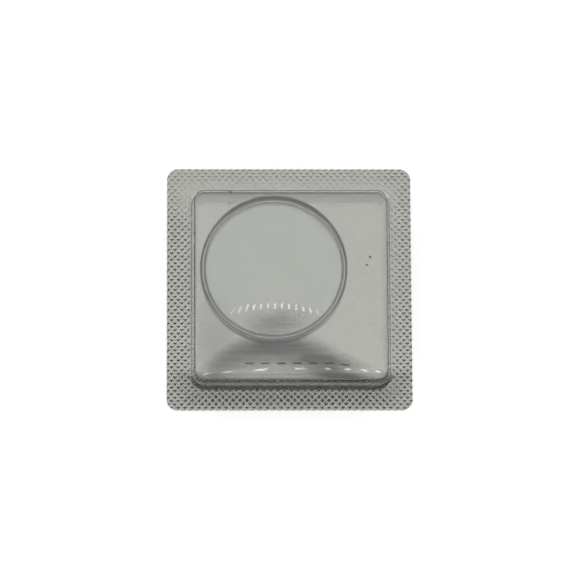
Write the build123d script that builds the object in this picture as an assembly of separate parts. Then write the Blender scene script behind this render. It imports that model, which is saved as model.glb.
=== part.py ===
from build123d import *
import os
from math import ceil, cos, hypot, radians, tan

# A round watch crystal in its sealed blister pack: a clear formed tray is heat-sealed all
# round to a flat aluminium lidding foil, and the crystal lies loose on the foil in the pocket.
# Millimetres and degrees. +Z is up, the foil's back is on Z = 0, the front edge faces -Y,
# and the origin is the middle of the pack's footprint.

# The crystal: a low dome on a thick upright rim
crystal_diameter = 30.1
rim_width = 0.95
rim_height = 1.9
rim_bevel = 0.3
rim_foot_chamfer = 0.1
dome_rise = 0.2
dome_thickness = 1.1
recess_bevel = 0.35

# The lidding foil
foil_thickness = 0.05

# The tray's film, as supplied on the seal band and as thinned by forming in the pocket
film_thickness = 0.3
formed_thickness = 0.22

# The pocket, sized from the crystal and the play that it leaves
pocket_play = 10.0
pocket_headroom = 3.2
pocket_draft = 6.5
pocket_corner_radius = 2.8
pocket_top_radius = 0.6
pocket_foot_radius = 0.3
pocket_mouth_bevel = 0.2

# Where the crystal rests: near the pocket's rear left corner
rest_gap_left = 1.3
rest_gap_rear = 0.53
far_gap = 0.3

# The seal band round the pocket, and how far the die cut missed the middle
seal_width_side = 4.75
seal_width_end = 4.85
pocket_shift_x = 0.28
pocket_shift_y = -0.13
pack_corner_radius = 2.4

# The knurl that the sealing plate presses into the band: rows of small diamond pyramids
knurl_pitch = 0.985
knurl_depth = 0.16
knurl_margin = 0.35
knurl_angle = 45.0
knurl_shift_x = 0.35

# Worked out from the sizes above
crystal_radius = crystal_diameter / 2
recess_radius = crystal_radius - rim_width
dome_edge_radius = crystal_radius - rim_bevel
dome_edge_height = rim_height + rim_bevel
crystal_height = dome_edge_height + dome_rise
recess_top = crystal_height - dome_thickness
recess_edge_radius = recess_radius - recess_bevel
recess_edge_height = recess_top - dome_rise * (recess_edge_radius / dome_edge_radius) ** 2
recess_shoulder = recess_edge_height - recess_bevel

foil_top = foil_thickness
wall_run = formed_thickness / cos(radians(pocket_draft))
pocket_inner_width = crystal_diameter + pocket_play
pocket_outer_width = pocket_inner_width + 2 * wall_run
pocket_inner_height = crystal_height + pocket_headroom
pocket_outer_height = pocket_inner_height + formed_thickness
pack_width = pocket_outer_width + 2 * seal_width_side
pack_depth = pocket_outer_width + 2 * seal_width_end
strip_width = pocket_outer_width + 2 * knurl_margin
strip_corner_radius = pocket_corner_radius + knurl_margin
strip_thickness = film_thickness - knurl_depth / 2

# How far the crystal's centre may stand from the pocket's, less the gap left to a wall
rim_level_half_width = pocket_inner_width / 2 - dome_edge_height * tan(radians(pocket_draft))
centre_room = rim_level_half_width - crystal_radius
rest_x = rest_gap_left - centre_room
rest_y = centre_room - rest_gap_rear
far_x = centre_room - far_gap
far_y = far_gap - centre_room
crystal_x = pocket_shift_x + rest_x
crystal_y = pocket_shift_y + rest_y


def rounded_block(width, depth, radius, height, draft=0.0):
    """A block with rounded upright corners, on Z = 0, that narrows upwards by its draft."""
    return extrude(RectangleRounded(width, depth, radius), amount=height, taper=draft)


def outer_form():
    """The pocket's outside, as a solid with rounded top edges."""
    width = pocket_outer_width
    block = rounded_block(width, width, pocket_corner_radius, pocket_outer_height, pocket_draft)
    return fillet(block.edges().group_by(Axis.Z)[-1], pocket_top_radius)


def inner_form():
    """The pocket's inside, as a solid with bevelled top edges."""
    width = pocket_inner_width
    radius = pocket_corner_radius - wall_run
    block = rounded_block(width, width, radius, pocket_inner_height, pocket_draft)
    return chamfer(block.edges().group_by(Axis.Z)[-1], pocket_top_radius - formed_thickness)


def edges_round_pocket(shape, level, width):
    """The edges of a shape at one height that lie inside a square of this width."""
    groups = shape.edges().group_by(Axis.Z)
    at_level = min(groups, key=lambda group: abs(group[0].center().Z - level))
    reach = width / 2
    return at_level.filter_by(lambda e: all(max(abs(v.X), abs(v.Y)) < reach for v in e.vertices()))


def ridge_field(angle):
    """Straight ridges across the whole pack, as a solid that stands on the tray's underside."""
    span = hypot(pack_width, pack_depth)
    count = ceil(span / knurl_pitch)
    start = -count * knurl_pitch / 2
    valley = film_thickness - knurl_depth
    points = [(start, 0), (start, valley)]
    for ridge in range(count):
        left = start + ridge * knurl_pitch
        points.append((left + knurl_pitch / 2, film_thickness))
        points.append((left + knurl_pitch, valley))
    points.append((-start, 0))
    profile = Plane.XZ * make_face(Polyline(*points, close=True))
    field = extrude(profile, amount=span / 2, both=True)
    return Pos(knurl_shift_x, 0, 0) * Rot(0, 0, angle) * field


def knurled_band():
    """The seal band's film: two crossed ridge fields leave the pyramids that both share."""
    sheet = rounded_block(pack_width, pack_depth, pack_corner_radius, film_thickness)
    window = rounded_block(strip_width, strip_width, strip_corner_radius, film_thickness)
    band = sheet - Pos(pocket_shift_x, pocket_shift_y, 0) * window
    return (ridge_field(knurl_angle) & band) & (ridge_field(-knurl_angle) & band)


def formed_pocket():
    """The thin drafted pocket, with the plain strip of film that joins it to the seal band."""
    strip = rounded_block(strip_width, strip_width, strip_corner_radius, strip_thickness)
    body = strip + outer_form()
    foot = edges_round_pocket(body, strip_thickness, pocket_outer_width)
    body = fillet(foot, pocket_foot_radius)
    body = body - inner_form()
    mouth = edges_round_pocket(body, 0, pocket_outer_width)
    return chamfer(mouth, pocket_mouth_bevel)


def make_blister_tray():
    """The clear tray: the knurled seal band and the pocket, formed from one film."""
    pocket = Pos(pocket_shift_x, pocket_shift_y, 0) * formed_pocket()
    return Pos(0, 0, foil_top) * (knurled_band() + pocket)


def make_lid_foil():
    """The aluminium foil that closes the pocket, cut to the tray's outline."""
    return rounded_block(pack_width, pack_depth, pack_corner_radius, foil_thickness)


def space_above_dome(apex):
    """What lies above a dome: a patch that sags alike along X and Y, so it is round, made tall."""
    reach = crystal_radius + rim_width
    sag = dome_rise * (reach / dome_edge_radius) ** 2
    stations = ((-reach, sag), (0, -sag), (reach, sag))
    grid = []
    for x, sag_x in stations:
        grid.append([(x, y, apex - sag_x - sag_y) for y, sag_y in stations])
    return Solid.extrude(Face.make_bezier_surface(grid), Vector(0, 0, crystal_height))


def domed_disc(radius, shoulder, apex):
    """A solid disc with an upright wall, a 45 degree bevel above its shoulder, and a dome."""
    inset = apex - shoulder
    corners = [(0, 0), (radius, 0), (radius, shoulder), (radius - inset, apex), (0, apex)]
    section = make_face(Polyline(*corners, close=True))
    disc = revolve(Plane.XZ * section, Axis.Z)
    return disc - space_above_dome(apex)


def make_crystal():
    """The crystal: a domed disc with its foot's edge eased, hollowed by a smaller domed disc."""
    disc = domed_disc(crystal_radius, rim_height, crystal_height)
    foot = disc.edges().group_by(Axis.Z)[0]
    disc = chamfer(foot, rim_foot_chamfer)
    recess = domed_disc(recess_radius, recess_shoulder, recess_top)
    return Pos(crystal_x, crystal_y, foil_top) * (disc - recess)


def report_sizes():
    """Print the places that mounts, openings and the crystal's slide are stated from."""
    slide = Vector(far_x - rest_x, far_y - rest_y, 0)
    print("pack", pack_width, pack_depth, foil_top + pocket_outer_height)
    print("crystal centre", crystal_x, crystal_y, "height", crystal_height)
    print("slide", slide.length, slide.normalized())
    print("pocket inside at the foil", pocket_inner_width, "height", pocket_inner_height)


if __name__ == "__main__":
    os.makedirs("parts", exist_ok=True)
    report_sizes()
    export_step(make_lid_foil(), "parts/lid_foil.step")
    export_step(make_blister_tray(), "parts/blister_tray.step")
    export_step(make_crystal(), "parts/crystal.step")
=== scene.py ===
"""Looks of a watch crystal in its sealed blister pack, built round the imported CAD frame.

All lengths are metres in the frame's own axes: +Z is up, the front edge faces -Y, and the
origin is the middle of the pack's footprint. The pack is three pieces: an aluminium lidding
foil, a clear tray formed from one film, and the glass crystal that lies loose in the pocket.
"""

import logging
import math
from dataclasses import dataclass
from enum import Enum
from functools import partialmethod

import bpy
from mathutils import Matrix, Vector, noise

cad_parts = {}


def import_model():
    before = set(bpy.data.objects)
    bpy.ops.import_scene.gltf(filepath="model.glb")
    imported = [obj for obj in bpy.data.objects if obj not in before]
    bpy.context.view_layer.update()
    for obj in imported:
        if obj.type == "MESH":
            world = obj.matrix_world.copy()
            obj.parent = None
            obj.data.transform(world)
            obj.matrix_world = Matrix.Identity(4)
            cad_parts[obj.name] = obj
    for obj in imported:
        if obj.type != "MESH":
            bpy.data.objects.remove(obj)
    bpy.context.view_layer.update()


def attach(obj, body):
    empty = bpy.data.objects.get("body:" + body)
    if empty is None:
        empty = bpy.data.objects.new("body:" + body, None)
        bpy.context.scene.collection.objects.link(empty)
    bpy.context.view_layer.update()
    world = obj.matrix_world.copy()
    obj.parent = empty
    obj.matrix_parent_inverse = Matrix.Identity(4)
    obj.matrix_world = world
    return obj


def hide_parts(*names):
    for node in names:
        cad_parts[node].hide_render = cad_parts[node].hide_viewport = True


LOG = logging.getLogger("watch_crystal")
MM = 0.001
WELD = 0.002 * MM
CORNER_SPANS = 20
SIDE_SPANS = 30
BLACK = (0.0, 0.0, 0.0, 1.0)
WHITE = (1.0, 1.0, 1.0, 1.0)

Socket = bpy.types.NodeSocket
Point = tuple[float, float]
Span = tuple[float, float]
Stops = tuple[Point, ...]
Face = tuple[int, ...]


# Sizes


@dataclass(frozen=True)
class PackSizes:
    """The pack's driving sizes, as the solids have them."""

    width: float = 50.0428 * MM
    depth: float = 50.2428 * MM
    corner_radius: float = 2.4 * MM
    foil_thickness: float = 0.05 * MM
    pocket_half: float = 20.2714 * MM
    pocket_corner_radius: float = 2.8 * MM
    pocket_draft: float = math.radians(6.5)
    pocket_top: float = 5.87 * MM
    pocket_x: float = 0.28 * MM
    pocket_y: float = -0.13 * MM
    strip_margin: float = 0.35 * MM
    strip_level: float = 0.27 * MM
    wall: float = 0.22 * MM
    crystal_x: float = -3.1693 * MM
    crystal_y: float = 4.0893 * MM
    crystal_radius: float = 15.05 * MM

    @property
    def window(self) -> float:
        """The width of the pressed band's opening, which the pocket's plain strip fills."""
        return 2 * (self.pocket_half + self.strip_margin)

    @property
    def window_radius(self) -> float:
        """That opening's corner radius."""
        return self.pocket_corner_radius + self.strip_margin


# Node wiring


class Wiring:
    """Adds nodes to a tree and joins them, by socket name or index."""

    def __init__(self, tree: bpy.types.NodeTree) -> None:
        """Wraps a tree."""
        self.tree = tree

    @classmethod
    def of(cls, owner: bpy.types.Material | bpy.types.World) -> "Wiring":
        """Empties the node tree of a material or world.

        Args:
            owner: The material or world.

        Returns:
            Its wiring.
        """
        owner.use_nodes = True
        owner.node_tree.nodes.clear()
        return cls(owner.node_tree)

    def add(self, kind: str, inputs: dict | None = None, **settings: object) -> bpy.types.Node:
        """Adds a node.

        Args:
            kind: The node's type name.
            inputs: Values or source sockets, by the input's name or index.
            settings: Properties of the node itself.

        Returns:
            The new node.
        """
        node = self.tree.nodes.new(kind)
        for name, value in settings.items():
            setattr(node, name, value)
        for key, value in (inputs or {}).items():
            self.feed(node, key, value)
        return node

    def feed(self, node: bpy.types.Node, key: str | int, value: object) -> None:
        """Sets or links one input of a node.

        Args:
            node: The node whose input is set.
            key: The input's name or index.
            value: A plain value, a node (its first output) or an output socket.
        """
        socket = node.inputs[key]
        if isinstance(value, bpy.types.Node):
            value = next(out for out in value.outputs if out.enabled)
        if isinstance(value, Socket):
            self.tree.links.new(value, socket)
        else:
            socket.default_value = value

    def shape(self, kind: str, inputs: dict | None = None, **settings: object) -> Socket:
        """Adds a geometry node."""
        return self.add(f"GeometryNode{kind}", inputs, **settings).outputs[0]

    def gather(self, kind: str, key: int, *sources: Socket, **settings: object) -> Socket:
        """Adds a geometry node that takes several geometries on one input.

        Args:
            kind: The node's type name, without GeometryNode.
            key: The input's index.
            sources: What goes in.
            settings: Properties of the node itself.

        Returns:
            Its first output.
        """
        node = self.add(f"GeometryNode{kind}", **settings)
        for source in sources:
            self.tree.links.new(source, node.inputs[key])
        return node.outputs[0]

    def math(self, operation: str, *values: object, clamp: bool = False) -> Socket:
        """Adds a Math node on some values; clamped, its result stays from 0 to 1."""
        inputs = dict(enumerate(values))
        return self.add("ShaderNodeMath", inputs, operation=operation, use_clamp=clamp).outputs[0]

    def chain(self, operation: str, first: object, *others: object) -> Socket:
        """Joins numbers by one operation, from left to right.

        Args:
            operation: What is worked out of each pair.
            first: The first number.
            others: The numbers that follow.

        Returns:
            The last result.
        """
        for other in others:
            first = self.math(operation, first, other)
        return first

    times = partialmethod(chain, "MULTIPLY")
    over = partialmethod(chain, "DIVIDE")
    plus = partialmethod(chain, "ADD")
    less = partialmethod(chain, "SUBTRACT")
    most = partialmethod(chain, "MAXIMUM")
    least = partialmethod(chain, "MINIMUM")

    def size(self, value: object) -> Socket:
        """Takes a number's sign away."""
        return self.math("ABSOLUTE", value)

    def vector_math(self, operation: str, *values: object) -> Socket:
        """Adds a Vector Math node."""
        node = self.add("ShaderNodeVectorMath", dict(enumerate(values)), operation=operation)
        return node.outputs["Value" if operation in ("LENGTH", "DISTANCE") else "Vector"]

    def vector(self, *parts: object) -> Socket:
        """Makes a vector of numbers."""
        return self.add("ShaderNodeCombineXYZ", dict(enumerate(parts))).outputs[0]

    def parts(self, vector: object) -> bpy.types.NodeOutputs:
        """Takes a vector apart."""
        return self.add("ShaderNodeSeparateXYZ", {0: vector}).outputs

    def ramp(self, value: object, low: float, high: float, to_low: object = 0.0, to_high: object = 1.0,
             kind: str = "SMOOTHSTEP") -> Socket:
        """Maps a number from low and high to other values; it eases in and out unless LINEAR."""
        inputs = {0: value, 1: low, 2: high, 3: to_low, 4: to_high}
        return self.add("ShaderNodeMapRange", inputs, interpolation_type=kind).outputs[0]

    def blend(self, factor: object, first: object, second: object) -> Socket:
        """Mixes two numbers."""
        return self.ramp(factor, 0.0, 1.0, first, second, "LINEAR")

    def profile(self, value: object, stops: Stops, scale: float = 1.0, kind: str = "LINEAR") -> Socket:
        """Adds a ramp that runs from stop to stop.

        Args:
            value: The number that is mapped.
            stops: Pairs of value and result, in rising order.
            scale: What the results are divided by.
            kind: How it runs from stop to stop.

        Returns:
            The mapped number.
        """
        low, high = stops[0][0], stops[-1][0]
        node = self.add("ShaderNodeValToRGB", {0: self.ramp(value, low, high, kind="LINEAR")})
        node.color_ramp.interpolation = kind
        elements = node.color_ramp.elements
        for place, _ in stops[1:-1]:
            elements.new((place - low) / (high - low))
        for element, (_, level) in zip(elements, stops):
            element.color = (level / scale, level / scale, level / scale, 1.0)
        return node.outputs[0]

    def mix_colour(self, factor: object, first: object, second: object) -> Socket:
        """Adds a colour Mix node."""
        return self.add("ShaderNodeMix", {0: factor, 6: first, 7: second}, data_type="RGBA").outputs[2]


def start_group(name: str, kind: str, inputs: dict[str, object],
                output: tuple[str, str]) -> tuple[Wiring, bpy.types.NodeOutputs]:
    """Starts a node group with named inputs and one output.

    Args:
        name: The group's name.
        kind: The tree's type name.
        inputs: Default values by name, or the kind of socket where there is none.
        output: The output's name and kind of socket.

    Returns:
        The group's wiring and the outputs of its input node.
    """
    tree = bpy.data.node_groups.new(name, kind)
    for label, value in inputs.items():
        bare = isinstance(value, str)
        sort = value if bare else "Vector" if isinstance(value, tuple) else "Float"
        socket = tree.interface.new_socket(label, in_out="INPUT", socket_type=f"NodeSocket{sort}")
        if not bare:
            socket.default_value = value
    tree.interface.new_socket(output[0], in_out="OUTPUT", socket_type=f"NodeSocket{output[1]}")
    wires = Wiring(tree)
    return wires, wires.add("NodeGroupInput").outputs


# Mesh helpers


def rounded_path(corners: list[Point], radii: list[float], steps: int) -> list[Point]:
    """Rounds the corners of an open line in the plane of a section.

    Args:
        corners: The line's corners as (out, up).
        radii: A radius for each inner corner.
        steps: Spans in each rounded corner.

    Returns:
        The points of the rounded line.
    """
    points = [corners[0]]
    for before, here, after, radius in zip(corners, corners[1:], corners[2:], radii):
        p, a, b = Vector(here), Vector(before), Vector(after)
        u, v = (a - p).normalized(), (b - p).normalized()
        half = 0.5 * math.acos(max(-1.0, min(1.0, u.dot(v))))
        centre = p + (u + v).normalized() * (radius / math.sin(half))
        start, end = p + u * (radius / math.tan(half)), p + v * (radius / math.tan(half))
        first, last = start - centre, end - centre
        turn = math.atan2(first.x * last.y - first.y * last.x, first.dot(last))
        for step in range(steps + 1):
            angle = turn * step / steps
            c, s = math.cos(angle), math.sin(angle)
            points.append((centre.x + first.x * c - first.y * s, centre.y + first.x * s + first.y * c))
    return points + [corners[-1]]


def rounded_loop(half: float, radius: float, level: float, sizes: PackSizes) -> list[Vector]:
    """A level square loop with rounded corners round the pocket's middle, in turn round +Z.

    Args:
        half: Half of the square's width.
        radius: Its corner radius.
        level: Its height.
        sizes: The pack's sizes.

    Returns:
        The loop's points.
    """
    points = []
    reach = half - radius
    local = [(half, -reach + 2 * reach * step / SIDE_SPANS) for step in range(SIDE_SPANS)]
    for step in range(CORNER_SPANS):
        angle = math.pi / 2 * step / CORNER_SPANS
        local.append((reach + radius * math.cos(angle), reach + radius * math.sin(angle)))
    for quarter in range(4):
        c, s = math.cos(quarter * math.pi / 2), math.sin(quarter * math.pi / 2)
        for x, y in local:
            points.append(Vector((sizes.pocket_x + c * x - s * y, sizes.pocket_y + s * x + c * y, level)))
    return points


def new_piece(name: str, points: list[Vector], faces: list[Face]) -> bpy.types.Object:
    """Makes a mesh object at the origin.

    Args:
        name: The piece's name.
        points: Its vertices.
        faces: Its faces.

    Returns:
        The new object, linked to the scene.
    """
    mesh = bpy.data.meshes.new(name)
    mesh.from_pydata([tuple(p) for p in points], [], faces)
    mesh.update()
    piece = bpy.data.objects.new(name, mesh)
    bpy.context.scene.collection.objects.link(piece)
    return piece


def loft(loops: list[list[Vector]]) -> tuple[list[Vector], list[Face]]:
    """Skins a stack of loops of equal length, and closes each end with a fan.

    Args:
        loops: The loops, in order along the skin.

    Returns:
        The vertices and the faces.
    """
    size, last = len(loops[0]), len(loops) - 1
    points = [p for loop in loops for p in loop]
    faces: list[Face] = []
    for row in range(last):
        for i in range(size):
            j = (i + 1) % size
            faces.append((row * size + i, row * size + j, (row + 1) * size + j, (row + 1) * size + i))
    for row, turned in ((0, True), (last, False)):
        middle = len(points)
        points.append(sum(loops[row], Vector()) / size)
        for i in range(size):
            pair = (row * size + i, row * size + (i + 1) % size)
            faces.append((*(reversed(pair) if turned else pair), middle))
    return points, faces


def shade(piece: bpy.types.Object, sharp_over: float = math.radians(30)) -> None:
    """Shades a piece smooth, with edges sharper than an angle kept crisp."""
    piece.data.polygons.foreach_set("use_smooth", [True] * len(piece.data.polygons))
    piece.data.set_sharp_from_angle(angle=sharp_over)


def soft_noise(x: float, y: float, span: float, plane: float) -> float:
    """Smooth noise from -1 to 1, in one plane of the pattern."""
    return noise.noise(Vector((x / span, y / span, plane)), noise_basis="PERLIN_ORIGINAL")


def apply_tree(piece: bpy.types.Object, tree: bpy.types.NodeTree, values: dict[str, object]) -> None:
    """Runs a geometry tree on a piece once and keeps the result as its plain mesh.

    Args:
        piece: The piece; its mesh is the tree's geometry input.
        tree: The geometry node group.
        values: The tree's inputs by name.
    """
    modifier = piece.modifiers.new("shape", "NODES")
    modifier.node_group = tree
    for item in tree.interface.items_tree:
        if item.item_type == "SOCKET" and item.in_out == "INPUT" and item.name in values:
            modifier[item.identifier] = values[item.name]
    piece.update_tag()
    bpy.context.view_layer.update()
    evaluated = piece.evaluated_get(bpy.context.evaluated_depsgraph_get())
    result = bpy.data.meshes.new_from_object(evaluated)
    result.name = piece.name
    piece.modifiers.remove(modifier)
    old = piece.data
    piece.data = result
    bpy.data.meshes.remove(old)


# The pressed seal band


@dataclass(frozen=True)
class Knurl:
    """The rows of small diamond studs that the sealing plate presses into film and foil.

    Where the plate pressed lightly, a stud has only a share of its height: along the rear side,
    but not at its right end. The other values add to that share or take from it.
    """

    pitch: float = 0.985 * MM
    base_share: float = 0.68
    crown_share: float = 0.1
    height: float = 0.092 * MM
    turned: float = math.radians(45)
    shift_x: float = 0.35 * MM
    rear_share: float = 0.76
    rear_y: Span = (12.5 * MM, 19.0 * MM)
    rear_right: Span = (20.6 * MM, 18.8 * MM)
    front_extra: float = -0.1
    front_y: Span = (-17.0 * MM, -23.11 * MM)
    right_less: float = 0.15
    right_x: Span = (19.02 * MM, 21.02 * MM)
    outer_extra: float = 0.13
    outer_gap: Span = (4.6 * MM, 1.2 * MM)
    bite: float = 0.1 * MM
    bite_step: float = 0.2 * MM
    straight: float = 0.02 * MM


class EmbossedBand:
    """The geometry tree of a sheet with pressed studs, cut to the seal band's outline."""

    corner_points = 16
    reach_share = 0.75
    block_top = 1.0 * MM
    block_height = 2.0 * MM

    def __init__(self, sizes: PackSizes, knurl: Knurl) -> None:
        """Builds the tree.

        Args:
            sizes: The pack's sizes.
            knurl: The studs' sizes.
        """
        self.sizes = sizes
        self.knurl = knurl
        self.wires, self.given = start_group("embossed band", "GeometryNodeTree", {
            "Middle": "Geometry",
            "Pitch": knurl.pitch,
            "Base share": knurl.base_share,
            "Crown share": knurl.crown_share,
            "Stud height": knurl.height,
            "Sheet thickness": sizes.foil_thickness,
            "Level": 0.0,
            "Rear share": knurl.rear_share,
            "Window": sizes.window,
            "Window radius": sizes.window_radius,
            "Finish": "Material",
        }, ("Geometry", "Geometry"))
        self.tree = self.wires.tree
        self._build()

    def _build(self) -> None:
        """Joins the tree's stages: studs, press depth, sheet, outline, middle, finish."""
        w, given = self.wires, self.given
        sheet = self._thicken(self._press_depth(self._stud_sheet()), given["Sheet thickness"])
        band = w.gather("MeshBoolean", 1, sheet, self._outline_block(), operation="INTERSECT", solver="EXACT")
        flat = w.shape("SetShadeSmooth", {"Geometry": band, "Shade Smooth": False})
        whole = w.gather("MeshBoolean", 1, flat, given["Middle"], operation="UNION", solver="EXACT")
        real = w.shape("RealizeInstances", {"Geometry": whole})
        w.add("NodeGroupOutput", {0: w.shape("SetMaterial", {"Geometry": real, "Material": given["Finish"]})})

    def _stud_sheet(self) -> Socket:
        """One stud with its land, repeated over the band's area.

        Returns:
            The open sheet of studs, with its lands at height 0.
        """
        w, given, sizes, knurl = self.wires, self.given, self.sizes, self.knurl
        cell = w.shape("MeshGrid", {0: given["Pitch"], 1: given["Pitch"], 2: 2, 3: 2})
        base = w.add("GeometryNodeExtrudeMesh", {"Mesh": cell, "Offset Scale": 0.0}).outputs
        foot = w.shape("ScaleElements", {"Geometry": base[0], "Selection": base["Top"],
                                         "Scale": given["Base share"]})
        rise = w.vector(0.0, 0.0, given["Stud height"])
        crown = w.add("GeometryNodeExtrudeMesh", {"Mesh": foot, "Selection": base["Top"], "Offset": rise,
                                                  "Offset Scale": 1.0}).outputs
        stud = w.shape("ScaleElements",
                       {"Geometry": crown[0], "Selection": crown["Top"], "Scale": given["Crown share"]})
        count = 2 * math.ceil(self.reach_share * max(sizes.width, sizes.depth) / knurl.pitch) + 1
        span = w.times(given["Pitch"], float(count - 1))
        turn = (0.0, 0.0, knurl.turned)
        grid = w.shape("MeshGrid", {0: span, 1: span, 2: count, 3: count})
        turned = w.shape("Transform", {"Geometry": grid, "Rotation": turn,
                                       "Translation": (knurl.shift_x, 0.0, 0.0)})
        kept = w.shape("DeleteGeometry", {"Geometry": turned, "Selection": self._far_from_band()})
        copies = w.shape("InstanceOnPoints", {"Points": kept, "Instance": stud, "Rotation": turn})
        real = w.shape("RealizeInstances", {"Geometry": copies})
        return w.shape("MergeByDistance", {"Geometry": real, "Distance": WELD})

    def _far_from_band(self) -> Socket:
        """True for a point whose stud can't reach the seal band.

        Returns:
            The selection.
        """
        w, given, sizes = self.wires, self.given, self.sizes
        x, y, _ = w.parts(w.shape("InputPosition"))
        outside = w.most(w.less(w.size(x), sizes.width / 2), w.less(w.size(y), sizes.depth / 2))
        away = w.most(w.size(w.less(x, sizes.pocket_x)), w.size(w.less(y, sizes.pocket_y)))
        inside = w.less(w.times(given["Window"], 0.5), away)
        return w.math("GREATER_THAN", w.most(outside, inside), given["Pitch"])

    def _press_depth(self, studs: Socket) -> Socket:
        """Gives each stud the share of its height that the plate's pressure left there.

        Args:
            studs: The sheet of full studs.

        Returns:
            The sheet with its real relief, at its level.
        """
        w, given, knurl = self.wires, self.given, self.knurl
        x, y, z = w.parts(w.shape("InputPosition"))
        faint = w.times(w.ramp(y, *knurl.rear_y), w.ramp(x, *knurl.rear_right))
        share = w.blend(faint, 1.0, given["Rear share"])
        front = w.ramp(y, *knurl.front_y, 0.0, knurl.front_extra)
        right = w.ramp(x, *knurl.right_x, 0.0, knurl.right_less)
        to_edge = w.least(w.less(self.sizes.width / 2, w.size(x)), w.less(self.sizes.depth / 2, w.size(y)))
        outer = w.ramp(to_edge, *knurl.outer_gap, -knurl.outer_extra, knurl.outer_extra)
        share = w.plus(w.less(w.plus(share, front), right), outer)
        spot = w.vector(x, y, w.plus(w.times(z, share), given["Level"]))
        return w.shape("SetPosition", {"Geometry": studs, "Position": spot})

    def _thicken(self, sheet: Socket, thickness: object) -> Socket:
        """Gives an open sheet a thickness downwards and closes it.

        Args:
            sheet: The open sheet; it becomes the top.
            thickness: How thick the closed sheet is.

        Returns:
            The closed sheet.
        """
        w = self.wires
        up = w.vector(0.0, 0.0, thickness)
        down = w.vector(0.0, 0.0, w.times(thickness, -1.0))
        low = w.shape("SetPosition", {"Geometry": sheet, "Offset": down})
        under = w.shape("FlipFaces", {"Mesh": low})
        over = w.shape("ExtrudeMesh", {"Mesh": low, "Offset": up, "Offset Scale": 1.0, "Individual": False})
        closed = w.gather("JoinGeometry", 0, under, over)
        return w.shape("MergeByDistance", {"Geometry": closed, "Distance": WELD})

    def _bitten(self, outline: Socket) -> Socket:
        """Notches the straight sides of the outline where the cut runs through the rows of studs.

        Args:
            outline: The outer outline.

        Returns:
            The outline with its shallow notches.
        """
        w, knurl = self.wires, self.knurl
        fine = w.shape("ResampleCurve", {"Curve": outline, "Length": knurl.bite_step}, mode="LENGTH")
        place = w.parts(w.shape("InputPosition"))
        turn = 2 * math.pi / (knurl.pitch * math.sqrt(2.0))
        steps = []
        for along, across, half in ((1, 0, self.sizes.width / 2), (0, 1, self.sizes.depth / 2)):
            at_side = w.math("GREATER_THAN", w.size(place[across]), half - knurl.straight)
            wave = w.math("MULTIPLY_ADD", w.math("COSINE", w.times(place[along], turn)), 0.5, 0.5)
            steps.append(w.times(wave, at_side, -knurl.bite, w.math("SIGN", place[across])))
        return w.shape("SetPosition", {"Geometry": fine, "Offset": w.vector(*steps)})

    def _outline_block(self) -> Socket:
        """The block that cuts the sheet to the seal band: rounded outside, with the pocket's window.

        Returns:
            The closed block.
        """
        w, given, sizes = self.wires, self.given, self.sizes
        edges = []
        for width, depth, radius in ((sizes.width, sizes.depth, sizes.corner_radius),
                                     (given["Window"], given["Window"], given["Window radius"])):
            square = w.shape("CurvePrimitiveQuadrilateral", {0: width, 1: depth})
            edges.append(w.shape("FilletCurve", {"Curve": square, "Radius": radius,
                                                 "Count": self.corner_points}, mode="POLY"))
        shift = (sizes.pocket_x, sizes.pocket_y, 0.0)
        moved = w.shape("Transform", {"Geometry": edges[1], "Translation": shift})
        both = w.gather("JoinGeometry", 0, self._bitten(edges[0]), moved)
        filled = w.shape("FillCurve", {"Curve": both}, mode="TRIANGLES")
        lifted = w.shape("Transform", {"Geometry": filled, "Translation": (0.0, 0.0, self.block_top)})
        return self._thicken(lifted, self.block_height)


# The lidding foil


@dataclass
class FoilSheet:
    """The aluminium lidding foil: gently dented in the pocket, pressed with studs in the band."""

    sizes: PackSizes
    band: EmbossedBand
    lap: float = 0.12 * MM
    clear: float = 0.006 * MM
    middle_share: float = 0.4
    dent_depth: float = 0.016 * MM
    dent_span: float = 13.0 * MM
    dent_plane: float = 0.37
    dent_fade: float = 3.0 * MM
    rings: int = 44

    def level(self, x: float, y: float) -> float:
        """The foil's top over the pocket, which dips a little between the crystal and the walls.

        Args:
            x: Place across the pack.
            y: Place along the pack.

        Returns:
            The height of the foil's top.
        """
        wave = 0.5 + 0.5 * soft_noise(x, y, self.dent_span, self.dent_plane)
        away = self.sizes.pocket_half - max(abs(x - self.sizes.pocket_x), abs(y - self.sizes.pocket_y))
        fade = max(0.0, min(1.0, away / self.dent_fade))
        return self.sizes.foil_thickness - self.dent_depth * wave * fade

    def build(self, finish: bpy.types.Material) -> bpy.types.Object:
        """Makes the foil and sets it on its body.

        Args:
            finish: The foil's material.

        Returns:
            The finished piece.
        """
        sizes = self.sizes
        thin = sizes.foil_thickness * self.middle_share
        top, bottom = [], []
        for ring in range(self.rings):
            share = 1.0 - ring / self.rings
            half, radius = sizes.window / 2 + self.lap, sizes.window_radius + self.lap
            loop = rounded_loop(half * share, radius * share, 0.0, sizes)
            top.append([Vector((p.x, p.y, self.level(p.x, p.y) - self.clear)) for p in loop])
            bottom.append([Vector((p.x, p.y, self.level(p.x, p.y) - self.clear - thin)) for p in loop])
        piece = new_piece("foil_sheet", *loft(bottom[::-1] + top))
        shade(piece)
        apply_tree(piece, self.band.tree, {
            "Level": sizes.foil_thickness - self.clear,
            "Sheet thickness": sizes.foil_thickness - self.clear,
            "Finish": finish,
        })
        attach(piece, "foil")
        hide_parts("lid_foil")
        return piece


# The formed tray


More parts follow.
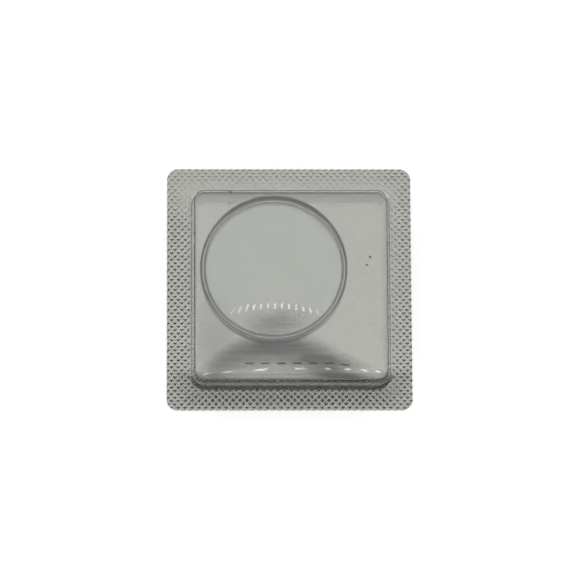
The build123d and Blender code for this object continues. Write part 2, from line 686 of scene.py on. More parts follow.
@dataclass
class FilmTray:
    """The clear tray: a drafted pocket with rounded edges, in one film with the seal band.

    Its panel dishes from front to rear, arches from side to side, leans a little, and turns over
    beside its front and rear edges.
    """

    sizes: PackSizes
    band: EmbossedBand
    lap: float = 0.12 * MM
    land_level: float = 0.12 * MM
    stud_height: float = 0.09 * MM
    foot_radius: float = 0.3 * MM
    top_radius: float = 0.45 * MM
    mouth_radius: float = 0.35 * MM
    edge_spans: int = 8
    panel_inset: float = 1.4 * MM
    inset_step: float = 0.26 * MM
    inset_rings: int = 8
    panel_rings: int = 16
    least_radius_share: float = 0.1
    wave_height: float = 0.003 * MM
    wave_rise: float = 3.0
    wave_span: float = 11.0 * MM
    wave_plane: float = 2.6
    dish_radius: float = 1950.0 * MM
    dish_depth: float = 0.12 * MM
    arch_depth: float = 0.0663 * MM
    arch_span: float = 62.7 * MM
    arch_x: float = -3.66 * MM
    lean: float = -0.00173
    turn_from: float = 16.39 * MM
    turn_bow: float = 0.00246 / MM
    turn_x: float = 5.0 * MM
    turn_radius: float = 150.0 * MM

    def section(self) -> list[Point]:
        """The film's section from the panel's middle, out over the strip, and back inside.

        Returns:
            Points as (inset from the pocket's foot, height above the foil).
        """
        sizes, panel = self.sizes, self.panel_inset
        base, strip, top = sizes.foil_thickness, sizes.strip_level, sizes.pocket_top
        out = -(sizes.strip_margin + self.lap)
        slope = math.tan(sizes.pocket_draft)
        wall = sizes.wall / math.cos(sizes.pocket_draft)
        ceiling = top - sizes.wall
        outer = rounded_path(
            [(panel, top), (slope * (top - base), top), (slope * (strip - base), strip), (out, strip)],
            [self.top_radius, self.foot_radius], self.edge_spans)
        inner = rounded_path(
            [(out, base), (wall, base), (wall + slope * (ceiling - base), ceiling), (panel, ceiling)],
            [self.mouth_radius, self.top_radius - sizes.wall], self.edge_spans)
        insets = [panel + step * self.inset_step for step in range(self.inset_rings, 0, -1)]
        return [(i, top) for i in insets] + outer + inner + [(i, ceiling) for i in reversed(insets)]

    def sag(self, x: float, y: float, level: float) -> float:
        """How far a point of the pocket stands from its plain form; the walls follow the panel.

        Args:
            x: Place across the pack.
            y: Place along the pack.
            level: The point's height.

        Returns:
            The step upwards.
        """
        sizes = self.sizes
        u, v = x - sizes.pocket_x, y - sizes.pocket_y
        step = v * v / (2 * self.dish_radius) - self.dish_depth + self.lean * u
        step -= self.arch_depth * math.cos(2 * math.pi * (u - self.arch_x) / self.arch_span)
        over = max(0.0, abs(v) - self.turn_from - self.turn_bow * (u - self.turn_x) ** 2)
        step -= over * over / (2 * self.turn_radius)
        share = (level - sizes.strip_level) / (sizes.pocket_top - sizes.strip_level)
        return step * max(0.0, min(1.0, share))

    def wave(self, x: float, y: float) -> float:
        """How far the top panel stands from flat, from the forming."""
        return self.wave_height * soft_noise(x, y, self.wave_span, self.wave_plane)

    def ring(self, inset: float, level: float) -> list[Vector]:
        """A loop round the pocket.

        Args:
            inset: Its distance inwards from the pocket's foot.
            level: Its height.

        Returns:
            The loop's points.
        """
        half = self.sizes.pocket_half - inset
        radius = max(self.sizes.pocket_corner_radius - inset, self.least_radius_share * half)
        return rounded_loop(half, radius, level, self.sizes)

    def panel(self, inset: float, level: float) -> list[list[Vector]]:
        """One face of the top panel, which waves a little away from its edge.

        Args:
            inset: Where the panel starts.
            level: Its height.

        Returns:
            Its loops, inwards.
        """
        edge = self.sizes.pocket_half - inset
        rows = []
        for step in range(1, self.panel_rings):
            fade = math.sin(min(1.0, self.wave_rise * step / self.panel_rings) * math.pi / 2)
            loop = self.ring(self.sizes.pocket_half - edge * (1 - step / self.panel_rings), level)
            rows.append([Vector((p.x, p.y, p.z + fade * self.wave(p.x, p.y))) for p in loop])
        return rows

    def build(self, finish: bpy.types.Material) -> bpy.types.Object:
        """Makes the tray and sets it on its body.

        Args:
            finish: The film's material.

        Returns:
            The finished piece.
        """
        section = self.section()
        (start, top), (_, ceiling) = section[0], section[-1]
        loops = [self.ring(*spot) for spot in section]
        loops = self.panel(start, top)[::-1] + loops + self.panel(start, ceiling)
        loops = [[Vector((p.x, p.y, p.z + self.sag(p.x, p.y, p.z))) for p in loop] for loop in loops]
        points, faces = loft(loops)
        piece = new_piece("film_tray", points, [tuple(reversed(f)) for f in faces])
        shade(piece)
        apply_tree(piece, self.band.tree, {
            "Level": self.land_level,
            "Stud height": self.stud_height,
            "Sheet thickness": self.land_level - self.sizes.foil_thickness,
            "Finish": finish,
        })
        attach(piece, "tray")
        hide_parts("blister_tray")
        return piece


# The crystal


@dataclass
class Crystal:
    """The glass: an upright ground rim, a bevel, a shallow dome and a domed recess."""

    sizes: PackSizes
    rim_width: float = 0.95 * MM
    rim_height: float = 1.9 * MM
    bevel: float = 0.3 * MM
    foot_chamfer: float = 0.1 * MM
    dome_rise: float = 0.16 * MM
    thickness: float = 1.1 * MM
    recess_fillet: float = 0.35 * MM
    ease: float = 0.04 * MM
    edge_spans: int = 6
    recess_flat: float = 1.2 * MM
    dome_flat: float = 0.5 * MM
    dome_start: float = 0.12 * MM
    spans: int = 224
    dome_rings: int = 26

    @property
    def edge(self) -> float:
        """The dome's edge radius."""
        return self.sizes.crystal_radius - self.bevel

    def fall(self, distance: float, apex: float) -> Point:
        """A point of a dome."""
        return distance, apex - self.dome_rise * (distance / self.edge) ** 2

    def section(self) -> list[Point]:
        """The section from the recess's middle, down round the rim and up to the dome's middle.

        Returns:
            Points as (distance from the axis, height above the foot).
        """
        radius, edge, foot, ease = self.sizes.crystal_radius, self.edge, self.foot_chamfer, self.ease
        inner = radius - self.rim_width
        shoulder = self.rim_height + self.bevel
        height = shoulder + self.dome_rise
        recess_edge = self.fall(inner, height - self.thickness)[1]
        rim = rounded_path(
            [(inner - self.recess_flat, recess_edge), (inner, recess_edge), (inner, foot),
             (inner + foot, 0.0), (radius - foot, 0.0), (radius, foot), (radius, self.rim_height),
             (edge, shoulder), (edge - self.dome_flat, shoulder)],
            [self.recess_fillet, ease, ease, ease, ease, ease, 2 * ease], self.edge_spans)
        shares = [ring / self.dome_rings for ring in range(1, self.dome_rings)]
        recess = [self.fall(rim[0][0] * share, height - self.thickness) for share in shares]
        dome = [self.fall((edge - self.dome_start) * share, height) for share in reversed(shares)]
        return recess + rim[1:-1] + dome

    def build(self, finish: bpy.types.Material) -> bpy.types.Object:
        """Makes the crystal and sets it on its body.

        Args:
            finish: The glass's material.

        Returns:
            The finished piece.
        """
        sizes = self.sizes
        foot = Vector((sizes.crystal_x, sizes.crystal_y, sizes.foil_thickness))
        angles = [2 * math.pi * step / self.spans for step in range(self.spans)]
        loops = [[foot + Vector((out * math.cos(angle), out * math.sin(angle), level)) for angle in angles]
                 for out, level in self.section()]
        piece = new_piece("glass_crystal", *loft(loops))
        shade(piece, sharp_over=math.radians(35))
        piece.data.materials.append(finish)
        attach(piece, "glass")
        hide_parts("crystal")
        return piece


# Finishes: their places, sizes and stops are millimetres on the pack


class SurfaceGroups:
    """Shader groups that more than one finish uses, each built once."""

    def __init__(self, sizes: PackSizes) -> None:
        """Builds the groups.

        Args:
            sizes: The pack's sizes.
        """
        self.streaks = self._streaks()
        self.oval = self._oval()
        self.pocket_gap = self._pocket_gap(sizes)

    @staticmethod
    def _pocket_gap(sizes: PackSizes) -> bpy.types.NodeTree:
        """How far a point lies outside the pocket's foot, in millimetres; less than 0 inside it.

        Args:
            sizes: The pack's sizes.

        Returns:
            The group: Vector in, Gap out.
        """
        w, given = start_group("gap to the pocket", "ShaderNodeTree", {"Vector": "Vector"}, ("Gap", "Float"))
        radius = sizes.pocket_corner_radius
        reach = sizes.pocket_half - radius
        local = w.vector_math("SUBTRACT", given["Vector"], (sizes.pocket_x, sizes.pocket_y, 0.0))
        x, y, _ = w.parts(w.vector_math("SUBTRACT", w.vector_math("ABSOLUTE", local), (reach, reach, 0.0)))
        corner = w.vector_math("LENGTH", w.vector(w.most(x, 0.0), w.most(y, 0.0)))
        gap = w.less(w.plus(corner, w.least(w.most(x, y), 0.0)), radius)
        w.add("NodeGroupOutput", {0: w.over(gap, MM)})
        return w.tree

    @staticmethod
    def _oval() -> bpy.types.NodeTree:
        """A soft-edged oval seen from above.

        Returns:
            The group: 1 in the oval and 0 outside it.
        """
        w, given = start_group("soft oval", "ShaderNodeTree", {
            "Vector": "Vector",
            "Place": (0.0, 0.0, 0.0),
            "Radii": (1.0 * MM, 1.0 * MM, 1.0),
            "Turn": 0.0,
            "Softness": 0.3,
        }, ("Mask", "Float"))
        local = w.vector_math("SUBTRACT", given["Vector"], given["Place"])
        turned = w.add("ShaderNodeVectorRotate", {"Vector": local, "Angle": w.times(given["Turn"], -1.0)},
                       rotation_type="Z_AXIS")
        shares = w.vector_math("MULTIPLY", w.vector_math("DIVIDE", turned, given["Radii"]), (1.0, 1.0, 0.0))
        outer, inner = w.plus(1.0, given["Softness"]), w.less(1.0, given["Softness"])
        w.add("NodeGroupOutput", {0: w.ramp(w.vector_math("LENGTH", shares), outer, inner)})
        return w.tree

    @staticmethod
    def _streaks() -> bpy.types.NodeTree:
        """Fine lines along one direction, as rolling and grinding leave them.

        Returns:
            The group: Vector in, Value out.
        """
        w, given = start_group("fine streaks", "ShaderNodeTree", {
            "Vector": "Vector",
            "Along": 150.0,
            "Across": 6000.0,
            "Softness": 0.5,
        }, ("Value", "Float"))
        scale = w.vector(given["Along"], given["Across"], given["Along"])
        unshaded_wall_share = w.vector_math("MULTIPLY", given["Vector"], scale)
        lines = w.add("ShaderNodeTexNoise", {"Vector": unshaded_wall_share, "Scale": 1.0, "Detail": 3.0,
                                             "Roughness": given["Softness"]}, noise_dimensions="3D")
        w.add("NodeGroupOutput", {0: lines.outputs[0]})
        return w.tree


class Coat:
    """A material in the making: its wiring, its Principled BSDF and the place on the piece."""

    def __init__(self, name: str, groups: SurfaceGroups) -> None:
        """Starts the material.

        Args:
            name: The material's name.
            groups: The shared groups.
        """
        self.material = bpy.data.materials.new(name)
        self.groups = groups
        self.w = Wiring.of(self.material)
        self.surface = self.w.add("ShaderNodeBsdfPrincipled")
        self.w.add("ShaderNodeOutputMaterial", {"Surface": self.surface})
        self.place = self.w.add("ShaderNodeTexCoord").outputs["Object"]
        self.x, self.y, self.z = self.w.parts(self.w.vector_math("DIVIDE", self.place, (MM, MM, MM)))

    def feed(self, key: str, value: object) -> None:
        """Sets or links an input of the Principled BSDF."""
        self.w.feed(self.surface, key, value)

    def group(self, tree: bpy.types.NodeTree, **inputs: object) -> Socket:
        """Puts a shared group into the material."""
        return self.w.add("ShaderNodeGroup", {"Vector": self.place, **inputs}, node_tree=tree).outputs[0]

    def bump(self, height: object, distance: float) -> None:
        """Roughens the surface's normals."""
        relief = self.w.add("ShaderNodeBump", {"Height": height, "Distance": distance, "Strength": 1.0})
        self.feed("Normal", relief)

    def clear(self, index: float) -> None:
        """Makes the material clear."""
        self.feed("Transmission Weight", 1.0)
        self.feed("IOR", index)


@dataclass(frozen=True)
class SoftOval:
    """One oval of a patch: its middle, its radii, its turn, its soft edge and its weight."""

    place: Point
    radii: Point
    turn: float = 0.0
    soft: float = 0.3
    weight: float = 1.0

    def mask(self, coat: Coat) -> Socket:
        """Puts the oval into a material.

        Args:
            coat: The material.

        Returns:
            The oval's mask, times its weight.
        """
        shape = coat.group(coat.groups.oval, Place=(self.place[0] * MM, self.place[1] * MM, 0.0),
                           Radii=(self.radii[0] * MM, self.radii[1] * MM, 1.0), Turn=math.radians(self.turn),
                           Softness=self.soft)
        return coat.w.times(shape, self.weight)


def speck(x: float, y: float, radius: float) -> SoftOval:
    """A small round spot, such as a grain of dust."""
    return SoftOval((x, y), (radius, radius), soft=0.15)


@dataclass(frozen=True)
class RolledFoil:
    """Bright-rolled aluminium foil: fine rolling lines, a rougher patch with a painted dark reflection, a row
    of painted dark reflection dashes, painted shade along the front wall and a few specks.
    """

    colour: tuple = (0.42, 0.422, 0.384, 1.0)
    shadow_colour: tuple = (0.38, 0.382, 0.346, 1.0)
    lines: Point = (160.0, 5200.0)
    grain: Point = (110.0, 900.0)
    streak_softness: float = 0.6
    cloud_scale: float = 190.0
    smooth: float = 0.13
    rough: float = 0.19
    line_height: float = 0.0012 * MM
    shadow_span: Span = (0.35, 0.7)
    blur_shares: Point = (0.6, 0.4)
    blur_span: Span = (0.35, 0.65)
    upper: Span = (-0.1, 0.1)
    front_y: Span = (-16.0, -18.4)
    # Painted shade by distance from the pocket's front wall: the share of the colour kept
    front_shade_stops: Stops = ((-2.2, 1.0), (-1.9, 0.78), (-1.5, 0.78), (-1.25, 1.0), (-1.0, 0.95), (-0.8, 0.62),
                          (0.5, 0.56), (1.0, 0.66), (3.0, 0.74), (4.6, 0.88))
    # Painted dark reflection patch: how far it darkens the colour, how much rougher it is, and where it fades
    # out
    painted_reflection_colour: float = 0.26
    dull_rough: float = 0.42
    dull_and_reflection_gap: Span = (-1.0, -1.8)
    grain_span: Span = (0.3, 0.7)
    grain_share: Span = (0.85, 1.1)
    # Ovals of the painted dark reflection: the arched outline, its lighter inside, the crystal's resting
    # place, and darker painted spots
    reflection_arch: SoftOval = SoftOval((-2.4, -20.2), (15.3, 10.6), -3.0, 0.2, 0.94)
    bright: SoftOval = SoftOval((-4.6, -20.3), (10.8, 5.3), 0.0, 0.5, 0.8)
    rest_print: SoftOval = SoftOval((-3.17, 4.09), (14.55, 14.55), 0.0, 0.03, 0.8)
    reflection_lobes: tuple[SoftOval, ...] = (
        SoftOval((5.6, -14.5), (6.6, 1.7), -12.0, 1.0, 1.2),
        SoftOval((9.6, -17.9), (6.4, 1.1), -8.0, 0.8, 1.1),
        SoftOval((-2.7, -7.4), (5.4, 2.3), 7.0, 1.0, 0.7),
        SoftOval((-15.6, -10.2), (5.5, 6.5), 0.0, 1.0, 0.26),
    )
    # A row of short dark dashes: a painted dark reflection of the lamp row in the foil
    reflection_dash_first: float = -9.78
    reflection_dash_pitch: float = 3.24
    reflection_dash_count: int = 7
    reflection_dash_half: Point = (0.84, 0.17)
    reflection_dash_soft: Point = (0.08, 0.05)
    reflection_dash_y: float = -15.4
    reflection_dash_turn_x: Span = (9.0, 12.0)
    reflection_dash_fall: float = -0.4
    mark_weight: float = 0.95
    specks: tuple[SoftOval, ...] = (
        speck(16.58, 6.71, 0.27), speck(15.95, 5.05, 0.23), speck(15.9, 11.1, 0.14),
        speck(13.1, 16.3, 0.13), speck(10.0, 18.2, 0.13), speck(11.2, -9.7, 0.13),
    )

    def make(self, groups: SurfaceGroups) -> bpy.types.Material:
        """Builds the material.

        Args:
            groups: The shared groups.

        Returns:
            The foil's material.
        """
        coat = Coat("lidding_foil", groups)
        w = coat.w
        lines = self._streaks(coat, *self.lines)
        clouds = w.add("ShaderNodeTexNoise", {"Vector": coat.place, "Scale": self.cloud_scale, "Detail": 2.0})
        # The patch is rougher, and its colour carries a painted dark reflection
        dull_and_reflection = self._dull_and_painted_reflection(coat)
        # Painted shade by the front wall, painted reflection dashes, the painted reflection patch and dust
        # specks all darken the colour
        marks = w.times(self._painted_front_shade(coat), self._marks(coat), w.blend(dull_and_reflection, 1.0, self.painted_reflection_colour))
        facing = w.parts(w.add("ShaderNodeTexCoord").outputs["Normal"])[2]
        left = w.blend(w.ramp(facing, *self.upper), 1.0, marks)
        base = w.mix_colour(w.ramp(lines, *self.shadow_span), self.colour, self.shadow_colour)
        coat.feed("Base Color", w.mix_colour(left, BLACK, base))
        blur = w.plus(w.times(lines, self.blur_shares[0]), w.times(clouds.outputs[0], self.blur_shares[1]))
        finish = w.ramp(blur, *self.blur_span, self.smooth, self.rough)
        coat.feed("Roughness", w.plus(finish, w.times(dull_and_reflection, self.dull_rough - self.rough)))
        coat.feed("Metallic", 1.0)
        coat.bump(lines, self.line_height)
        return coat.material

    def _streaks(self, coat: Coat, along: float, across: float) -> Socket:
        """Lines along the way that the foil was rolled."""
        return coat.group(coat.groups.streaks, Along=along, Across=across, Softness=self.streak_softness)

    def _dull_and_painted_reflection(self, coat: Coat) -> Socket:
        """The rougher patch in front of the crystal with a painted dark reflection, bare where the crystal
        rests, with darker painted spots of reflection and shade.

        Args:
            coat: The foil's material.

        Returns:
            The patch's mask.
        """
        w = coat.w
        patch = self.reflection_arch.mask(coat)
        for bare in (self.bright, self.rest_print):
            patch = w.times(patch, w.less(1.0, bare.mask(coat)))
        patch = w.most(patch, *(lobe.mask(coat) for lobe in self.reflection_lobes))
        uneven = w.ramp(self._streaks(coat, *self.grain), *self.grain_span, *self.grain_share)
        patch = w.math("MULTIPLY", patch, uneven, clamp=True)
        return w.times(patch, w.ramp(coat.group(coat.groups.pocket_gap), *self.dull_and_reflection_gap))

    def _marks(self, coat: Coat) -> Socket:
        """The row of painted dark reflection dashes and the specks of dust.

        Args:
            coat: The foil's material.

        Returns:
            The share of the colour that they leave.
        """
        w = coat.w
        # Painted dark reflection dashes, in a row that falls a little to the right
        turn = w.over(w.less(coat.x, self.reflection_dash_first), self.reflection_dash_pitch)
        across = w.times(w.size(w.less(w.math("FRACT", turn), 0.5)), self.reflection_dash_pitch)
        row = w.plus(w.ramp(coat.x, *self.reflection_dash_turn_x, 0.0, self.reflection_dash_fall), self.reflection_dash_y)
        offsets = (across, w.size(w.less(coat.y, row)))
        mask = w.times(*(w.ramp(offset, half + soft, half - soft)
                         for offset, half, soft in zip(offsets, self.reflection_dash_half, self.reflection_dash_soft)),
                       w.math("GREATER_THAN", turn, 0.0), w.math("LESS_THAN", turn, float(self.reflection_dash_count)))
        mask = w.most(mask, *(spot.mask(coat) for spot in self.specks))
        return w.less(1.0, w.times(mask, self.mark_weight))

    def _painted_front_shade(self, coat: Coat) -> Socket:
        """Painted shade on the foil along the pocket's front wall, inside the pocket and on the band in front
        of it.
        """
        front_shade = coat.w.profile(coat.group(coat.groups.pocket_gap), self.front_shade_stops)
        return coat.w.blend(coat.w.ramp(coat.y, *self.front_y), 1.0, front_shade)


@dataclass(frozen=True)
class ClearFilm:
    """Clear thermoformed film: bright on the panel, with painted shade on the walls, at their foot, at the
    top bend and at the front lip.
    """

    colour: tuple = (0.985, 0.992, 0.99, 1.0)
    shade_colour: tuple = (0.0, 0.02, 0.03, 1.0)
    index: float = 1.55
    # Painted wall shade by height: the share of the clear colour kept, at the sides and at the front
    wall_shade_stops: Stops = ((0.2, 1.0), (1.2, 0.97), (3.0, 0.96), (3.6, 0.88), (5.6, 0.85))
    front_shade_stops: Stops = ((0.2, 0.5), (0.9, 0.46), (1.25, 0.55), (1.6, 1.0), (2.85, 1.0), (3.1, 0.42),
                          (4.9, 0.36), (5.35, 0.85))
    wall_gaps: tuple[Span, Span] = ((-1.2, -0.9), (0.55, 0.35))
    wall_rear_y: Span = (18.8, 17.4)
    front_y: Span = (-17.5, -19.2)
    bend_shade: float = 0.62
    bend_gap: float = -0.6
    bend_half: float = 0.16
    bend_z: Span = (4.9, 5.2)
    lip_shade: float = 0.2
    lip_gap: Span = (-2.2, -1.8)
    lip_y: Span = (-18.0, -18.3)
    top_z: Span = (5.0, 5.2)
    fleck: SoftOval = speck(-12.02, 19.1, 0.3)
    fleck_shade: float = 0.7
    haze_scale: float = 420.0
    haze_span: Span = (0.4, 0.7)
    haze_rough: float = 0.02
    band_rough: float = 0.1
    band_gap: Span = (0.3, 0.55)
    rear_haze: float = 0.2
    rear_y: Span = (18.7, 19.0)
    rear_gap: Span = (0.3, 0.15)
    rear_z: Span = (3.2, 2.4)
    wave_scale: float = 260.0
    wave_height: float = 0.0004 * MM

    def make(self, groups: SurfaceGroups) -> bpy.types.Material:
        """Builds the material.

        Args:
            groups: The shared groups.

        Returns:
            The film's material.
        """
        coat = Coat("clear_film", groups)
        w = coat.w
        coat.feed("Base Color", w.mix_colour(self._clearness_and_painted_shade(coat), self.shade_colour, self.colour))
        coat.clear(self.index)
        gap = coat.group(groups.pocket_gap)
        haze = w.add("ShaderNodeTexNoise", {"Vector": coat.place, "Scale": self.haze_scale, "Detail": 2.0})
        rear = w.times(w.ramp(coat.y, *self.rear_y), w.ramp(gap, *self.rear_gap),
                       w.ramp(coat.z, *self.rear_z))
        pressed = w.ramp(gap, *self.band_gap, 0.0, self.band_rough)
        coat.feed("Roughness", w.plus(w.ramp(haze.outputs[0], *self.haze_span, 0.0, self.haze_rough), pressed,
                                      w.times(rear, self.rear_haze)))
        waves = w.add("ShaderNodeTexNoise", {"Vector": coat.place, "Scale": self.wave_scale, "Detail": 1.0})
        coat.bump(waves.outputs[0], self.wave_height)
        return coat.material

    def _clearness_and_painted_shade(self, coat: Coat) -> Socket:
        """How clear each surface is: painted shade on the walls, at the top bend and at the front lip, and a
        dark fleck.

        Args:
            coat: The film's material.

        Returns:
            The share of the clear colour.
        """
        w, y, height = coat.w, coat.y, coat.z
        gap = coat.group(coat.groups.pocket_gap)
        # Painted shade on the walls, none at the rear
        on_wall = w.times(*(w.ramp(gap, *span) for span in self.wall_gaps), w.ramp(y, *self.wall_rear_y))
        unshaded_wall_share = w.blend(w.ramp(y, *self.front_y), w.profile(height, self.wall_shade_stops),
                        w.profile(height, self.front_shade_stops))
        wall = w.times(on_wall, w.less(1.0, unshaded_wall_share))
        off_bend = w.size(w.less(gap, self.bend_gap))
        bend = w.times(w.ramp(off_bend, self.bend_half, 0.0), w.ramp(height, *self.bend_z), self.bend_shade)
        at_top = w.ramp(height, *self.top_z)
        lip = w.times(w.ramp(gap, *self.lip_gap), w.ramp(y, *self.lip_y), at_top, self.lip_shade)
        fleck = w.times(self.fleck.mask(coat), at_top, self.fleck_shade)
        return w.math("SUBTRACT", 1.0, w.most(wall, lip, bend, fleck), clamp=True)


@dataclass(frozen=True)
class CrystalGlass:
    """Polished mineral glass with a finely ground rim, whose edges carry painted shade."""

    colour: tuple = (0.956, 0.963, 0.957, 1.0)
    edge_shade_colour: tuple = (0.02, 0.05, 0.05, 1.0)
    index: float = 1.52
    ground: float = 0.22
    ground_least: float = 0.6
    marks: Point = (300.0, 90.0)
    marks_softness: float = 0.7
    marks_span: Span = (0.35, 0.65)
    side_inset: Span = (0.06, 0.02)
    side_wall: float = 0.08
    front_wall: float = 1.0
    rear_wall: float = 0.8
    wall_top: Span = (1.95, 1.8)
    wall_foot: Span = (0.3, 0.8)
    front_sine: Span = (-0.35, -0.9)
    rear_sine: Span = (0.3, 0.85)
    # Painted shade rings by distance from the axis: the share of the clear colour kept, at the sides, front
    # and rear
    side_shade_stops: Stops = ((13.85, 1.0), (14.06, 0.85), (14.14, 0.34), (14.27, 0.34), (14.38, 0.93),
                         (14.57, 0.95), (14.66, 0.1), (15.05, 0.0))
    front_shade_stops: Stops = ((13.85, 1.0), (14.1, 1.0), (14.17, 0.45), (14.28, 0.45), (14.38, 1.0), (14.6, 1.0),
                          (14.75, 1.0), (15.0, 1.0), (15.05, 0.1))
    rear_shade_stops: Stops = ((13.7, 1.0), (13.88, 0.6), (13.97, 0.42), (14.3, 0.4), (14.45, 0.9), (14.7, 0.9),
                         (14.82, 0.5), (15.05, 0.45))

    def make(self, groups: SurfaceGroups, sizes: PackSizes) -> bpy.types.Material:
        """Builds the material.

        Args:
            groups: The shared groups.
            sizes: The pack's sizes.

        Returns:
            The glass's material.
        """
        coat = Coat("crystal_glass", groups)
        w = coat.w
        x, y = w.less(coat.x, sizes.crystal_x / MM), w.less(coat.y, sizes.crystal_y / MM)
        reach = w.vector_math("LENGTH", w.vector(x, y))
        side = w.ramp(reach, *(sizes.crystal_radius / MM - inset for inset in self.side_inset))
        sine = w.over(y, reach)
        front, rear = w.ramp(sine, *self.front_sine), w.ramp(sine, *self.rear_sine)
        # Painted shade: dark rings round the rim and on its upright wall, darker at the sides than in front
        ring = w.blend(front, w.profile(reach, self.side_shade_stops), w.profile(reach, self.front_shade_stops))
        ring = w.blend(rear, ring, w.profile(reach, self.rear_shade_stops))
        clear = w.blend(rear, w.blend(front, self.side_wall, self.front_wall), self.rear_wall)
        wall = w.times(side, w.ramp(coat.z, *self.wall_top), w.ramp(coat.z, *self.wall_foot), clear)
        coat.feed("Base Color", w.mix_colour(w.most(ring, wall), self.edge_shade_colour, self.colour))
        coat.clear(self.index)
        round_rim = w.vector(w.times(coat.z, MM), w.math("ARCTAN2", y, x))
        marks = coat.group(groups.streaks, Vector=round_rim, Along=self.marks[0], Across=self.marks[1],
                           Softness=self.marks_softness)
        rough = w.ramp(marks, *self.marks_span, self.ground * self.ground_least, self.ground)
        coat.feed("Roughness", w.times(side, rough))
        return coat.material


# The studio


class Backdrop(Enum):
    """How bright the backdrop is to the camera."""

    WHITE = 1.0


@dataclass(frozen=True)
class GlintLamps:
    """The bowed row of small lamps; the first few are longer and dimmer than the rest."""

    count: int = 13
    pitch: float = 8.8 * MM
    first: float = -32.2 * MM
    middle: float = 18.0 * MM
    bow_span: float = 46.0 * MM
    bow: float = 6.0 * MM
    behind: float = 194.0 * MM
    height: float = 1184.0 * MM
    fan: float = math.radians(38)
    width: float = 2.3 * MM
    length: float = 6.8 * MM
    radiance: float = 3.8
    long_count: int = 3
    long_share: float = 1.4
    long_radiance: float = 2.6


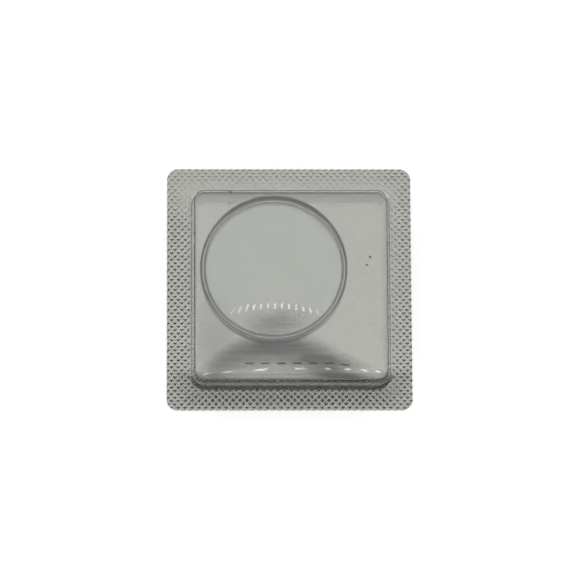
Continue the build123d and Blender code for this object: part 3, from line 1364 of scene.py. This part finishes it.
@dataclass
class Studio:
    """The floor, the soft light, the small lamps that glint in the film, and the camera.

    A high card and a low one take light out of the tent: each has where it starts and is whole,
    and the share of the light that it takes.
    """

    lamps: GlintLamps = GlintLamps()
    floor_colour: tuple = (0.93, 0.93, 0.93, 1.0)
    floor_lift: float = 0.33
    floor_half: float = 3.0
    floor_gap: float = 0.02 * MM
    tent_stops: Stops = ((0.0, 0.45), (0.12, 0.65), (0.3, 0.9), (0.45, 1.12), (0.62, 1.14), (0.8, 1.06),
                         (1.0, 1.06))
    tent_scale: float = 2.5
    high_middle_y: float = -0.39
    high_radii: Point = (0.74, 0.3)
    high_edge: Span = (1.12, 0.86)
    high_share: float = 0.97
    low_facing: Span = (0.55, 0.85)
    low_height: Span = (0.75, 0.55)
    low_share: float = 0.3
    camera_place: tuple = (-16.89125 * MM, -141.51507 * MM, 721.10487 * MM)
    camera_aim: tuple = (0.15406 * MM, -0.16989 * MM, 0.0)
    camera_roll: float = math.radians(6.741)
    camera_clip: Span = (0.01, 20.0)
    focal_px: float = 3596.517
    frame_px: float = 580.0
    sensor: float = 36.0

    def camera(self) -> None:
        """Sets the camera at the photograph's place, with its small roll."""
        data = bpy.data.cameras.new("camera")
        data.sensor_width = self.sensor
        data.lens = self.focal_px * self.sensor / self.frame_px
        data.clip_start, data.clip_end = self.camera_clip
        camera = bpy.data.objects.new("camera", data)
        bpy.context.scene.collection.objects.link(camera)
        place, aim = Vector(self.camera_place), Vector(self.camera_aim)
        ahead = (aim - place).normalized()
        right = ahead.cross(Vector((0, 0, 1))).normalized()
        up = right.cross(ahead)
        c, s = math.cos(self.camera_roll), math.sin(self.camera_roll)
        turn = Matrix((c * right + s * up, -s * right + c * up, -ahead)).transposed().to_4x4()
        camera.matrix_world = Matrix.Translation(place) @ turn
        bpy.context.scene.camera = camera

    def floor(self) -> None:
        """Lays a plain white floor that keeps the object's shadow."""
        half, low = self.floor_half, -self.floor_gap
        signs = ((-1, -1), (1, -1), (1, 1), (-1, 1))
        plane = new_piece("floor", [Vector((x * half, y * half, low)) for x, y in signs], [(0, 1, 2, 3)])
        material = bpy.data.materials.new("floor")
        w = Wiring.of(material)
        path = w.add("ShaderNodeLightPath").outputs
        seen = w.most(path["Is Camera Ray"], path["Is Glossy Ray"], path["Is Transmission Ray"])
        glow = w.add("ShaderNodeEmission", {"Color": WHITE, "Strength": w.times(seen, self.floor_lift)})
        matt = w.add("ShaderNodeBsdfDiffuse", {"Color": self.floor_colour})
        total = w.add("ShaderNodeAddShader", {0: matt, 1: glow})
        w.add("ShaderNodeOutputMaterial", {"Surface": total})
        plane.data.materials.append(material)

    def world(self) -> None:
        """A soft tent of light: bright all round, greyer overhead, shaded in front of the object."""
        world = bpy.data.worlds.new("soft tent")
        bpy.context.scene.world = world
        w = Wiring.of(world)
        x, y, z = w.parts(w.add("ShaderNodeTexCoord").outputs["Generated"])
        tent = w.profile(z, self.tent_stops, self.tent_scale, "B_SPLINE")
        across = w.over(x, self.high_radii[0])
        along = w.over(w.less(y, self.high_middle_y), self.high_radii[1])
        high = w.ramp(w.vector_math("LENGTH", w.vector(across, along)), *self.high_edge)
        high = w.times(high, w.math("GREATER_THAN", z, 0.0), self.high_share)
        facing = w.over(w.times(y, -1.0), w.vector_math("LENGTH", w.vector(x, y)))
        low = w.times(w.ramp(facing, *self.low_facing), w.ramp(z, *self.low_height), self.low_share)
        level = w.times(tent, self.tent_scale, w.less(1.0, high), w.less(1.0, low))
        lit = w.add("ShaderNodeBackground", {"Color": WHITE, "Strength": level})
        white = w.add("ShaderNodeBackground", {"Color": WHITE, "Strength": Backdrop.WHITE.value})
        seen = w.add("ShaderNodeLightPath").outputs["Is Camera Ray"]
        w.add("ShaderNodeOutputWorld", {"Surface": w.add("ShaderNodeMixShader", {0: seen, 1: lit, 2: white})})

    def glint_lamps(self) -> None:
        """A bowed row of small lamps high behind the pack, seen as glints in film and glass."""
        row = self.lamps
        for index in range(row.count):
            x = row.first + row.pitch * index
            away = (x - row.middle) / row.bow_span
            is_long = index < row.long_count
            data = bpy.data.lights.new(f"glint_{index:02d}", "AREA")
            data.shape = "RECTANGLE"
            data.size = row.width
            data.size_y = row.length * (row.long_share if is_long else 1.0)
            data.energy = (row.long_radiance if is_long else row.radiance) * math.pi * data.size * data.size_y
            lamp = bpy.data.objects.new(data.name, data)
            lamp.location = (x, row.behind - row.bow * away * away, row.height)
            bpy.context.scene.collection.objects.link(lamp)
            aim = (-Vector(lamp.location)).to_track_quat("-Z", "Y").to_matrix()
            lamp.rotation_euler = (aim @ Matrix.Rotation(away * row.fan, 3, "Z")).to_euler()

    def build(self) -> None:
        """Sets up the whole studio."""
        bpy.context.scene.view_settings.view_transform = "Standard"
        self.camera()
        self.floor()
        self.world()
        self.glint_lamps()


# Building it all


def main() -> None:
    """Builds the pieces in order, dresses them and reports each."""
    logging.basicConfig(level=logging.INFO, format="%(name)s: %(message)s")
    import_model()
    sizes = PackSizes()
    groups = SurfaceGroups(sizes)
    band = EmbossedBand(sizes, Knurl())
    pieces = [
        FoilSheet(sizes, band).build(RolledFoil().make(groups)),
        FilmTray(sizes, band).build(ClearFilm().make(groups)),
        Crystal(sizes).build(CrystalGlass().make(groups, sizes)),
    ]
    for piece in pieces:
        piece.data.calc_loop_triangles()
        LOG.info("%s: %d triangles", piece.name, len(piece.data.loop_triangles))
    Studio().build()


if __name__ == "__main__":
    main()
